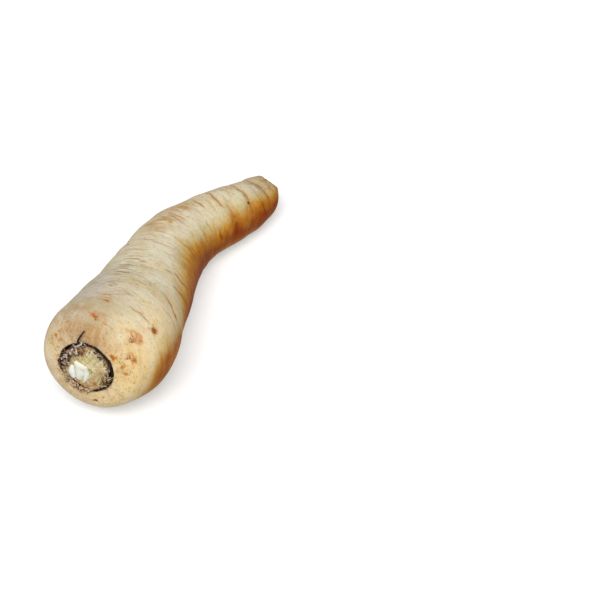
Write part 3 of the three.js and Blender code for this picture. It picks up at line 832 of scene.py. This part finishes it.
# Shreds and flakes: for each group, how many, the degrees round where they grow, the farthest and nearest
# they start, length, half width, lowest and highest start above the rim, how steeply they stand, the way
# they lie (0 inwards, -90 along the rim) and its spread, and their colours.
SHREDS = [
    (44, 112, 180, 11.9, 9.4, 1.9, 0.7, 0.3, 1.1, 0.2, 0, 70,
     ("B3A090", "8C6E54", "CDC0B4", "5A3E2C", "A88460", "785638")),
    (40, 110, 184, 11.9, 9.0, 1.8, 0.45, 0.5, 1.2, 0.2, 0, 60,
     ("B09A86", "6C4C34", "C8BAAE", "38241A", "A07C58")),
    (16, 96, 118, 10.6, 8.4, 2.0, 0.55, 0.7, 1.1, 0.15, 0, 40, ("8A5424", "A8743C", "6A4020", "B98E58")),
    (7, 102, 130, 12.0, 10.6, 3.2, 0.36, 0.9, 1.5, 0.15, 60, 26, ("A89C8C", "C8BEAE", "8C7A66")),
    # Black flakes round the left of the rim: dark sheath, and painted shade of the gap.
    (40, 148, 204, 13.7, 12.4, 1.2, 0.36, 0.2, 0.6, 0.1, 90, 60,
     ("1A110C", "2A1A12", "4A3020", "1E130E", "6A4A34")),
    (46, -58, -8, 11.9, 9.4, 3.4, 0.22, 0.6, 1.3, 0.12, -88, 22,
     ("B89C78", "6E4A30", "CDB48E", "5A3622", "D6C4A0", "2C1A10", "9A6E40")),
    (90, 200, 288, 12.6, 10.6, 1.8, 0.6, 0.6, 1.2, 0.1, 10, 70,
     ("B09A7C", "C6AC88", "9C7E5C", "B89E70", "D0BEA0", "8A5E3C")),
    (22, 204, 284, 14.4, 13.0, 1.6, 0.36, 0.1, 0.4, 0.05, 10, 80,
     ("A07C5C", "B8906A", "7C5A44", "C0A890")),
    (44, -6, 84, 11.4, 10.6, 1.4, 0.26, 0.3, 0.8, 0.1, 0, 22,
     ("3E2618", "6C4A34", "A5866A", "2A1A12", "C0A88C")),
    # Black flakes along the top and upper right of the rim: dark sheath, and painted shade of the gap.
    (30, 24, 100, 12.6, 11.8, 1.6, 0.45, 0.2, 0.6, 0.05, 90, 30, ("1A110C", "241710", "3A2418")),
    (3, 94, 99, 13.9, 13.2, 2.4, 0.4, 0.4, 0.9, 0.1, 10, 24, ("C9C4B8", "B0A698")),
    (22, 182, 206, 12.5, 10.8, 1.7, 0.5, 0.4, 1.0, 0.12, 0, 60,
     ("A08A70", "6C4C34", "C8BAAE", "38241A", "8C6E54")),
]


def strip_axes(path):
    """Side and above at points on paths: side is square to the path and level with the crown's face,
    and above is square to both."""
    onward = unit(np.gradient(path, axis=-2))
    side = unit(np.cross(onward, (0, -1, 0)))
    return side, np.cross(side, onward)


def shred_surfaces(
    draw, count, start, end, outer, inner, length, width, low, high, stand, lie, spread, rows=9, columns=8,
):
    """Curled strips, one grid each. A strip heads inwards, turned by the way its group lies and a random
    part of the spread. It rises along a parabola by its stand, and is lifted clear over the stub. Its
    half width is the square root of a half sine, with a torn waver and a random roll."""
    turn = np.radians(draw.uniform(start, end, count))
    out = draw.uniform(inner, outer, count)
    heading = turn + np.pi + np.radians(lie + draw.normal(0, spread, count))
    t = np.linspace(0, 1, rows)
    heading = heading[:, None] + draw.normal(0, 0.7, count)[:, None] * t
    step = (length * draw.uniform(0.5, 1.3, count) / (rows - 1))[:, None]
    x, z = (
        (out * way(turn))[:, None] + np.cumsum(way(heading) * step, 1) - way(heading[:, :1]) * step
        for way in (np.cos, np.sin)
    )
    stands = stand * draw.uniform(-0.6, 1.6, count)[:, None]
    rise = draw.uniform(low, high, count)[:, None] + step * (rows - 1) * stands * (t * (1.6 - t))
    rise = rise + 0.7 * ramp(10.8 - np.hypot(x, z), 0, 1.5)
    path = np.stack([x, -rise, z], -1)
    half = width * draw.uniform(0.4, 1.2, count)[:, None] * np.sqrt(np.sin(np.pi * (0.04 + 0.94 * t)))
    half = half * (1 + 0.35 * np.sin(t * 17 + draw.uniform(0, 6, count)[:, None]))
    roll = draw.normal(0, 0.5, count)[:, None, None]
    flat, above = strip_axes(path)
    side = flat * np.cos(roll) + above * np.sin(roll)
    above = above * np.cos(roll) - flat * np.sin(roll)
    a = full_turn(columns)
    ring = side[:, :, None] * (half[..., None] * np.cos(a))[..., None]
    thick = np.minimum(half, 0.11)[..., None] * np.sin(a) + 0.35 * half[..., None] * np.cos(a) ** 2
    return path[:, :, None] + ring + above[:, :, None] * thick[..., None]


draw = np.random.default_rng(12)
shred_points, shred_tints = [], []
for *group, codes in SHREDS:
    grids = shred_surfaces(draw, *group)
    picked = np.array([shade(code) for code in codes])[draw.integers(0, len(codes), len(grids))]
    shred_points.append(grids)
    shred_tints.append(np.broadcast_to(picked[:, None, None], grids.shape))
shreds = closed_grid("sheath_shreds", stand_in_crown(np.concatenate(shred_points)), {
    "tint": np.concatenate(shred_tints),
})

# The strand: a dry vein, dark and stiff, that rises over the rim and lies up the crown.
STRAND_PATH = np.array([  # place, then sideways, into the root, up, and radius
    (0, -3.4, 1.4, 12, 0.55), (1, -3.8, -0.5, 12.7, 0.5), (2, -3.6, -1.1, 14, 0.45),
    (3, -2.2, -0.7, 16.8, 0.42), (4, -0.6, -0.05, 19.5, 0.28),
])


def strand_surface(rows=60, columns=12):
    """A tube along the smooth path, a little flat, whose radius wavers as two sines and closes at both
    ends as the square root of the way in."""
    t = np.linspace(0, 4, rows)
    path = np.stack([smooth(STRAND_PATH, t, column) for column in (1, 2, 3)], -1)
    close = np.sqrt(np.clip(np.minimum(t, 4 - t) / 0.12, 0, 1))
    thick = smooth(STRAND_PATH, t, 4) * close * (1 + 0.12 * np.sin(t * 9) + 0.08 * np.sin(t * 23 + 1))
    side, above = strip_axes(path)
    a = full_turn(columns)
    ring = side[:, None] * np.cos(a)[:, None] + 0.7 * above[:, None] * np.sin(a)[:, None]
    return path[:, None] + ring * thick[:, None, None]


strand = closed_grid("sheath_strand", stand_in_crown(strand_surface()), {"tint": shade("2E1612")})

tree = finish("dead_sheath", [lining, shreds, strand], {"Specular IOR Level": 0.35})
colour = tree.attribute("tint", "Color")
fibre = tree.place().noise((1500, 900, 1500), 4.0, 0.65)
colour = colour.stain("8A6A54", fibre.between(0.52, 0.72) * 0.8)
colour = colour.blend("B9A48C", fibre.between(0.4, 0.25) * 0.15)
tree.connect(Base_Color=colour, Roughness=0.6 + 0.3 * fibre, Normal=tree.bump(0.15 * fibre))
for piece in (lining, shreds, strand):
    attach(piece, "root")
    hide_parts("dead_leaf_sheaths")

# ------------------------------------------------------------
# Table, lamp, surround and camera. A plain white table that keeps the shadow, one broad soft lamp above
# the crown, an even pale surround, and a camera that looks down on the crown from its right.

TABLE_REACH = 4.0
TABLE_GREY = 0.68
SURROUND_LIGHT = 0.25
LAMP_SIZE = 1.5
LAMP_POWER = 43.0
LAMP_PLACE = (0.3, -0.95, 1.7)
LAMP_AIM = (0, 0, 0.02)
LENS = 90
SENSOR = 36
VIEW_AZIMUTH = math.radians(23.73)  # how far the camera stands round to the right of the crown's face
VIEW_ELEVATION = math.radians(40)
VIEW_DISTANCE = 0.75
VIEW_AIM = (53.8, 113.3, 0.0)  # the point on the table that it looks at: millimetres, in the root's frame

table_mesh = bpy.data.meshes.new("table")
table_corners = [(-1, -1, 0), (1, -1, 0), (1, 1, 0), (-1, 1, 0)]
table_mesh.from_pydata((np.array(table_corners) * TABLE_REACH).tolist(), [], [(0, 1, 2, 3)])
table = bpy.data.objects.new("table", table_mesh)
bpy.context.scene.collection.objects.link(table)
tree = finish("white_table", [table], {
    "Base Color": (TABLE_GREY, TABLE_GREY, TABLE_GREY, 1),
    "Roughness": 0.9,
    "Specular IOR Level": 0.1,
    "Emission Strength": 1.0,
})
# For the camera alone it is lifted to white, and more so away from the root.
from_root = tree.node("ShaderNodeVectorMath", {"operation": "LENGTH"}, {0: tree.place()}, output="Value")
seen = tree.node("ShaderNodeLightPath", output="Is Camera Ray")
tree.connect(Emission_Color=seen * (0.42 + 0.5 * from_root.between(0.3, 1.2)))

world = bpy.data.worlds.new("surround")
bpy.context.scene.world = world
world.use_nodes = True
tree = Wire(world.node_tree)
seen = tree.node("ShaderNodeLightPath", output="Is Camera Ray")
background = world.node_tree.nodes["Background"]
background.inputs["Color"].default_value = (1, 1, 1, 1)
strength = SURROUND_LIGHT + (1 - SURROUND_LIGHT) * seen
world.node_tree.links.new(strength.socket, background.inputs["Strength"])


def point_at(thing, place, aim):
    """Stands a lamp or camera at a place, looking at an aim."""
    thing.location = place
    thing.rotation_euler = (Vector(aim) - Vector(place)).to_track_quat("-Z", "Y").to_euler()
    bpy.context.scene.collection.objects.link(thing)


lamp = bpy.data.lights.new("lamp", "AREA")
lamp.shape, lamp.size, lamp.energy = "SQUARE", LAMP_SIZE, LAMP_POWER
point_at(bpy.data.objects.new("lamp", lamp), LAMP_PLACE, LAMP_AIM)

camera = bpy.data.objects.new("camera", bpy.data.cameras.new("camera"))
camera.data.lens, camera.data.sensor_width = LENS, SENSOR
towards_camera = np.array((
    math.sin(VIEW_AZIMUTH) * math.cos(VIEW_ELEVATION),
    -math.cos(VIEW_AZIMUTH) * math.cos(VIEW_ELEVATION),
    math.sin(VIEW_ELEVATION),
))
aim = root_place + np.array(VIEW_AIM) * MM
point_at(camera, aim + towards_camera * VIEW_DISTANCE, aim)
bpy.context.scene.camera = camera
bpy.context.scene.view_settings.view_transform = "Standard"
